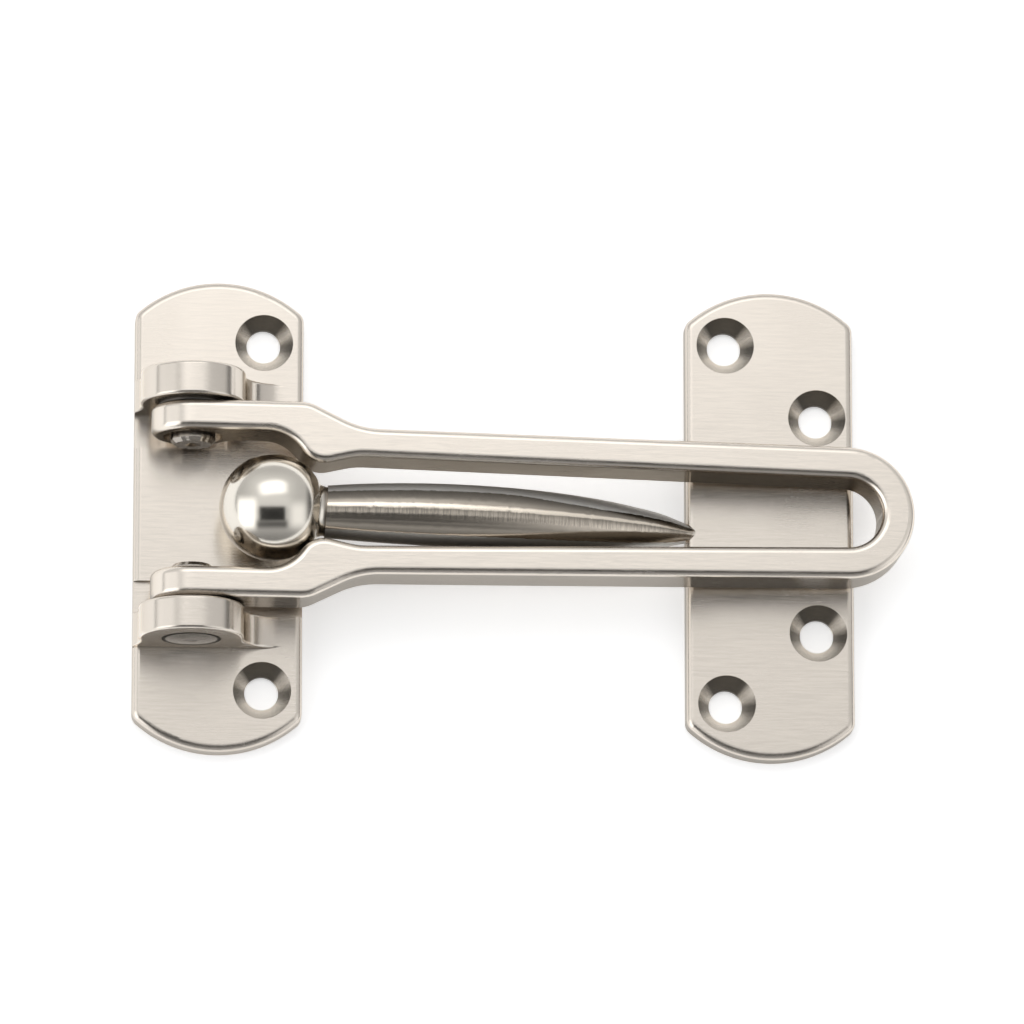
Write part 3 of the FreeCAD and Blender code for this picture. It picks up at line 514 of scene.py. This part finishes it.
def arm_finish(metal):
    """The drawn arm: sides left matt and painted light grey, a ground strip with fine cross marks
    along the front, a painted highlight line above it, and darker polished metal between, painted with
    dark reflections."""
    tree = metal.tree
    turn = arm_turn(metal)
    streaks = grain(tree, metal.place, ARM_STREAKS)
    cross = grain(tree, metal.place, CROSS_MARKS)
    off_middle = math_node(tree, "SUBTRACT", streaks, NOISE_MIDDLE)
    wavy = math_node(tree, "MULTIPLY_ADD", off_middle, STREAK_WANDER, turn)
    lower_edge, upper_edge = GROUND_STRIP
    ground = math_node(tree, "MULTIPLY", ramp_between(tree, wavy, *lower_edge),
                       ramp_between(tree, wavy, *upper_edge))
    marks = ramp_between(tree, cross, *SHARP_SPAN, *CROSS_MARK_TONES)
    marks = mix(tree, ground, 1.0, marks, "FLOAT")
    colour = toned(tree, tinted(ARM_NICKEL), stepped_tone(tree, wavy, ARM_PAINTED_BANDS))
    colour = toned(tree, colour, marks)
    # Matt sides, painted light grey as a painted reflection of the white floor
    matt = math_node(tree, "MAXIMUM", ramp_between(tree, turn, *LOWER_MATT_SIDE),
                     ramp_between(tree, turn, *UPPER_MATT_SIDE))
    colour = mix(tree, matt, colour, tinted(MATT_SIDE_PAINTED_REFLECTION))
    roughness = mix(tree, matt, ARM_ROUGHNESS, MATT_ROUGHNESS, "FLOAT")
    height = math_node(tree, "MULTIPLY", math_node(tree, "ADD", streaks, cross), ARM_SCRATCHES)
    return Finish(colour, roughness, height)


# Ball, pins and washers

BALL_HAZE = Grain(stretch=EVEN, density=160.0, detail=3.0, roughness=0.6)
BALL_ROUGHNESS = (0.13, 0.17)
HAZE_TONE = 0.98
NECK_EDGE = (-0.15 * MM, 0.35 * MM)
NECK_ROUGHER = 0.2


def polished_ball():
    """Mirror finish with the faintest cloud of handling marks, duller and darker on the neck."""
    metal = new_metal("polished ball")
    tree = metal.tree
    haze = grain(tree, metal.place, BALL_HAZE)
    past_ball = math_node(tree, "SUBTRACT", split(tree, metal.place)["X"], NECK_X)
    neck = ramp_between(tree, past_ball, *NECK_EDGE)
    polished = mix(tree, haze, tinted(BALL_METAL, HAZE_TONE), tinted(BALL_METAL))
    roughness = ramp_between(tree, haze, *NOISE_SPAN, *BALL_ROUGHNESS)
    feed(tree, metal.shader.inputs["Base Color"], mix(tree, neck, polished, tinted(NECK_METAL)))
    feed(tree, metal.shader.inputs["Roughness"],
         math_node(tree, "MULTIPLY_ADD", neck, NECK_ROUGHER, roughness))
    return metal.material


PIN_PITS = Grain(stretch=EVEN, density=700.0, detail=3.0, roughness=0.6)
PIT_TONES = (0.85, 1.1)
PIN_ROUGHNESS = (0.17, 0.24)
PIN_RING_PITCH = 0.35 * MM
PIN_RING_DEPTH = 0.002 * MM
PIN_RIBS = 12
PIN_RIB_HEIGHT = 25.0
RIBBED_RIM = (-0.9 * MM, -0.5 * MM)


def pin_ribs(metal, distance):
    """Ribs round the rim of a pin's end."""
    tree = metal.tree
    parts = split(tree, metal.place)
    angle = math_node(tree, "ARCTAN2", math_node(tree, "SUBTRACT", parts["Z"], PIN_Z),
                      math_node(tree, "SUBTRACT", parts["X"], PIN_X))
    ribs = math_node(tree, "SINE", math_node(tree, "MULTIPLY", angle, PIN_RIBS))
    from_edge = math_node(tree, "SUBTRACT", distance, PIN_RADIUS)
    return math_node(tree, "MULTIPLY", ribs, ramp_between(tree, from_edge, *RIBBED_RIM))


def pin_metal():
    """Turned pins: fine rings about their axis, heads painted light, inner ends painted in shade and
    ribbed, and painted shade in the seams round the heads.
    """
    metal = new_metal("pin metal")
    tree = metal.tree
    pin = add_group(tree, PINS, Vector=metal.place)
    pits = grain(tree, metal.place, PIN_PITS)
    low_tone, high_tone = PIT_TONES
    from_middle = math_node(tree, "ABSOLUTE", split(tree, metal.place)["Y"])
    head = ramp_between(tree, from_middle, PIN_MIDDLE - MM, PIN_MIDDLE + MM)
    colour = mix(tree, head, tinted(PIN_END_PAINTED_SHADE), tinted(PIN_HEAD_PAINTED_LIGHT))
    colour = toned(tree, colour, mix(tree, pits, low_tone, high_tone, "FLOAT"))
    colour = mix(tree, pin["Seam"], colour, tinted(SEAM_SHADE))
    feed(tree, metal.shader.inputs["Base Color"], colour)
    feed(tree, metal.shader.inputs["Roughness"],
         ramp_between(tree, pits, *NOISE_SPAN, *PIN_ROUGHNESS))
    inner_ribs = math_node(tree, "MULTIPLY", pin_ribs(metal, pin["Distance"]),
                           math_node(tree, "SUBTRACT", 1.0, head))
    rings = waves(tree, pin["Distance"], PIN_RING_PITCH)
    add_bump(metal, math_node(tree, "MULTIPLY_ADD", inner_ribs, PIN_RIB_HEIGHT, rings), PIN_RING_DEPTH)
    return metal.material


WASHER_GRIME = Grain(stretch=EVEN, density=900.0, detail=3.0, roughness=0.6)
WASHER_GRIME_TONE = 0.7
WASHER_ROUGHNESS = (0.4, 0.55)


def washer_metal():
    """Plain dark washers, seen only as a line in the gap."""
    metal = new_metal("washer metal")
    tree = metal.tree
    grime = grain(tree, metal.place, WASHER_GRIME)
    feed(tree, metal.shader.inputs["Base Color"],
         mix(tree, grime, tinted(WASHER_METAL, WASHER_GRIME_TONE), tinted(WASHER_METAL)))
    feed(tree, metal.shader.inputs["Roughness"],
         ramp_between(tree, grime, *NOISE_SPAN, *WASHER_ROUGHNESS))
    return metal.material


def dress(node, material):
    """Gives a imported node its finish."""
    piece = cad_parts[node]
    piece.data.materials.clear()
    piece.data.materials.append(material)


def dress_nodes():
    """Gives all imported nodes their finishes."""
    dress("hinge_plate", hinge_plate_nickel())
    dress("ball_plate", ball_plate_nickel())
    dress("swing_bar", swing_bar_nickel())
    dress("catch_ball", polished_ball())
    pin = pin_metal()
    washer = washer_metal()
    for side in ("upper", "lower"):
        dress(side + "_pin", pin)
        dress(side + "_washer", washer)


# Camera: tilted towards the lower ends of the plates, panned a little to the left, in metres

VIEW_TILT = math.radians(13.1)
VIEW_PAN = math.radians(4.3)
VIEW_DISTANCE = 1.5
VIEW_WIDTH = 0.1667
VIEW_TARGET = Vector((47.8 * MM, 1.4 * MM, 3.4 * MM))
SENSOR_WIDTH = 36.0
FARTHEST_SEEN = 20.0


def view_axes():
    """The camera's right, up and backward directions."""
    away = Vector((-math.sin(VIEW_PAN), -math.sin(VIEW_TILT) * math.cos(VIEW_PAN),
                   math.cos(VIEW_TILT) * math.cos(VIEW_PAN)))
    right = Vector((0, 1, 0)).cross(away).normalized()
    return right, away.cross(right), away


def add_camera():
    """The photograph's view."""
    right, up, away = view_axes()
    camera = bpy.data.objects.new("camera", bpy.data.cameras.new("camera"))
    camera.data.sensor_width = SENSOR_WIDTH
    camera.data.lens = SENSOR_WIDTH * VIEW_DISTANCE / VIEW_WIDTH
    camera.data.clip_end = FARTHEST_SEEN
    turned = Matrix((right, up, away)).transposed().to_4x4()
    camera.matrix_world = Matrix.Translation(VIEW_TARGET + away * VIEW_DISTANCE) @ turned
    bpy.context.scene.collection.objects.link(camera)
    bpy.context.scene.camera = camera


# Floor

FLOOR_REACH = 4.0
FLOOR_LEVEL = -0.1 * MM
FLOOR_WHITE = 0.95
FLOOR_ROUGHNESS = 0.9
FLOOR_GLOW = 0.43


def floor_white():
    """White that keeps the part's shadow. Its glow shows in the picture and in reflections, and
    sheds no light on the part."""
    material = bpy.data.materials.new("floor")
    material.use_nodes = True
    tree = material.node_tree
    shader = tree.nodes["Principled BSDF"]
    shader.inputs["Base Color"].default_value = tinted((FLOOR_WHITE, FLOOR_WHITE, FLOOR_WHITE))
    shader.inputs["Roughness"].default_value = FLOOR_ROUGHNESS
    shader.inputs["Specular IOR Level"].default_value = 0.0
    shader.inputs["Emission Color"].default_value = WHITE
    rays = tree.nodes.new("ShaderNodeLightPath").outputs
    seen = math_node(tree, "MAXIMUM", rays["Is Camera Ray"], rays["Is Glossy Ray"])
    seen = math_node(tree, "MAXIMUM", seen, rays["Is Transmission Ray"])
    feed(tree, shader.inputs["Emission Strength"], math_node(tree, "MULTIPLY", seen, FLOOR_GLOW))
    return material


def add_floor():
    """A wide white floor just under the plates."""
    mesh = bpy.data.meshes.new("floor")
    corners = [(across * FLOOR_REACH, along * FLOOR_REACH, FLOOR_LEVEL)
               for across, along in ((-1, -1), (1, -1), (1, 1), (-1, 1))]
    mesh.from_pydata(corners, [], [(0, 1, 2, 3)])
    mesh.materials.append(floor_white())
    floor = bpy.data.objects.new("floor", mesh)
    bpy.context.scene.collection.objects.link(floor)


# Light: one softbox beyond the plates' upper ends, in metres; a level of 1 is white

SOFTBOX_PLACE = Vector((0.0, 0.245, 0.405))
SOFTBOX_AIM = Vector((0.03, 0.0, 0.01))
SOFTBOX_WIDTH = 0.66
SOFTBOX_HEIGHT = 0.36
SOFTBOX_LEVEL = 1.05
SOFTBOX_FADE = 0.7


def add_softbox():
    """The near softbox. Its cloth is brightest in the middle."""
    light = bpy.data.lights.new("overhead", "AREA")
    light.shape = "RECTANGLE"
    light.size = SOFTBOX_WIDTH
    light.size_y = SOFTBOX_HEIGHT
    light.energy = SOFTBOX_LEVEL * math.pi * SOFTBOX_WIDTH * SOFTBOX_HEIGHT
    light.use_nodes = True
    tree = light.node_tree
    spot = split(tree, tree.nodes.new("ShaderNodeNewGeometry").outputs["Parametric"])
    glow = 1.0
    for side in ("X", "Y"):
        off_middle = math_node(tree, "ABSOLUTE", math_node(tree, "SUBTRACT", spot[side], 0.5))
        glow = math_node(tree, "MULTIPLY", glow,
                         ramp_between(tree, off_middle, 0.5, 0.5 - SOFTBOX_FADE / 2))
    feed(tree, tree.nodes["Emission"].inputs["Strength"], glow)
    lamp = bpy.data.objects.new("overhead", light)
    lamp.location = SOFTBOX_PLACE
    lamp.rotation_mode = "QUATERNION"
    lamp.rotation_quaternion = (SOFTBOX_AIM - SOFTBOX_PLACE).to_track_quat("-Z", "Y")
    bpy.context.scene.collection.objects.link(lamp)


# Light tent, as a mirror ball at the part's place shows it: a round map of equal areas with the
# camera in the middle. Places on it go across, then up, and its rim is at 1. Each cloth or gap has
# its middle, half its width and height, how far its edges fade, and its level, where 1 is white.

TENT_LEVEL = 0.62
TENT_FOOT_LEVEL = 0.25
TENT_FOOT = (-0.65, -0.25)
FAR_RIM = (0.77, 0.86)
FAR_RIM_LEVEL = 0.18
FRONT_CLOTH = Cloth(middle=(0.0, 0.10), reach=(0.34, 0.10), fade=(0.20, 0.10), level=0.85)
OVERHEAD_CLOTH = Cloth(middle=(-0.02, 0.37), reach=(0.36, 0.20), fade=(0.50, 0.30), level=0.95)
LEFT_CLOTH = Cloth(middle=(-0.47, -0.11), reach=(0.17, 0.27), fade=(0.14, 0.20), level=1.9)
RIGHT_CLOTH = Cloth(middle=(0.49, -0.14), reach=(0.14, 0.22), fade=(0.20, 0.26), level=1.15)
RIGHT_GAP = Cloth(middle=(0.86, 0.10), reach=(0.20, 0.60), fade=(0.12, 0.40), level=0.10)
LEFT_GAP = Cloth(middle=(-0.87, 0.10), reach=(0.20, 0.60), fade=(0.12, 0.40), level=0.15)
STAND_GAP = Cloth(middle=(0.0, -0.31), reach=(0.29, 0.07), fade=(0.10, 0.12), level=0.13)
CAMERA_GAP = Cloth(middle=(0.01, -0.11), reach=(0.24, 0.13), fade=(0.05, 0.05), level=0.035)
NEARLY_BEHIND = 0.001


def on_mirror_ball(tree, direction):
    """The spot on the round map, across and up, at which a direction shows: its parts along the
    camera's right and up, over the root of 2 x (1 + its part towards the camera)."""
    right, up, away = (vector_node(tree, "DOT_PRODUCT", direction, axis) for axis in view_axes())
    depth = math_node(tree, "MAXIMUM", math_node(tree, "MULTIPLY_ADD", away, 2.0, 2.0), NEARLY_BEHIND)
    shrink = math_node(tree, "INVERSE_SQRT", depth)
    return math_node(tree, "MULTIPLY", right, shrink), math_node(tree, "MULTIPLY", up, shrink)


def cloth_share(tree, spots, cloth):
    """1 on a cloth and 0 off it, with soft edges."""
    share = 1.0
    for spot, middle, reach, fade in zip(spots, cloth.middle, cloth.reach, cloth.fade):
        off_middle = math_node(tree, "ABSOLUTE", math_node(tree, "SUBTRACT", spot, middle))
        share = math_node(tree, "MULTIPLY", share,
                          ramp_between(tree, off_middle, reach + fade / 2, reach - fade / 2))
    return share


def light_tent():
    """The tent by direction: later cloths and gaps lie over earlier ones."""
    world = bpy.data.worlds.new("light tent")
    world.use_nodes = True
    tree = world.node_tree
    spots = on_mirror_ball(tree, tree.nodes.new("ShaderNodeTexCoord").outputs["Generated"])
    level = ramp_between(tree, spots[1], *TENT_FOOT, TENT_FOOT_LEVEL, TENT_LEVEL)
    for cloth in (FRONT_CLOTH, OVERHEAD_CLOTH, LEFT_CLOTH, RIGHT_CLOTH, RIGHT_GAP, LEFT_GAP,
                  STAND_GAP, CAMERA_GAP):
        level = mix(tree, cloth_share(tree, spots, cloth), level, cloth.level, "FLOAT")
    far = ramp_between(tree, length(tree, *spots), *FAR_RIM)
    level = mix(tree, far, level, FAR_RIM_LEVEL, "FLOAT")
    back = tree.nodes["Background"]
    back.inputs["Color"].default_value = WHITE
    feed(tree, back.inputs["Strength"], level)
    return world


dress_nodes()
add_camera()
add_floor()
add_softbox()
bpy.context.scene.world = light_tent()
bpy.context.scene.view_settings.view_transform = "Standard"
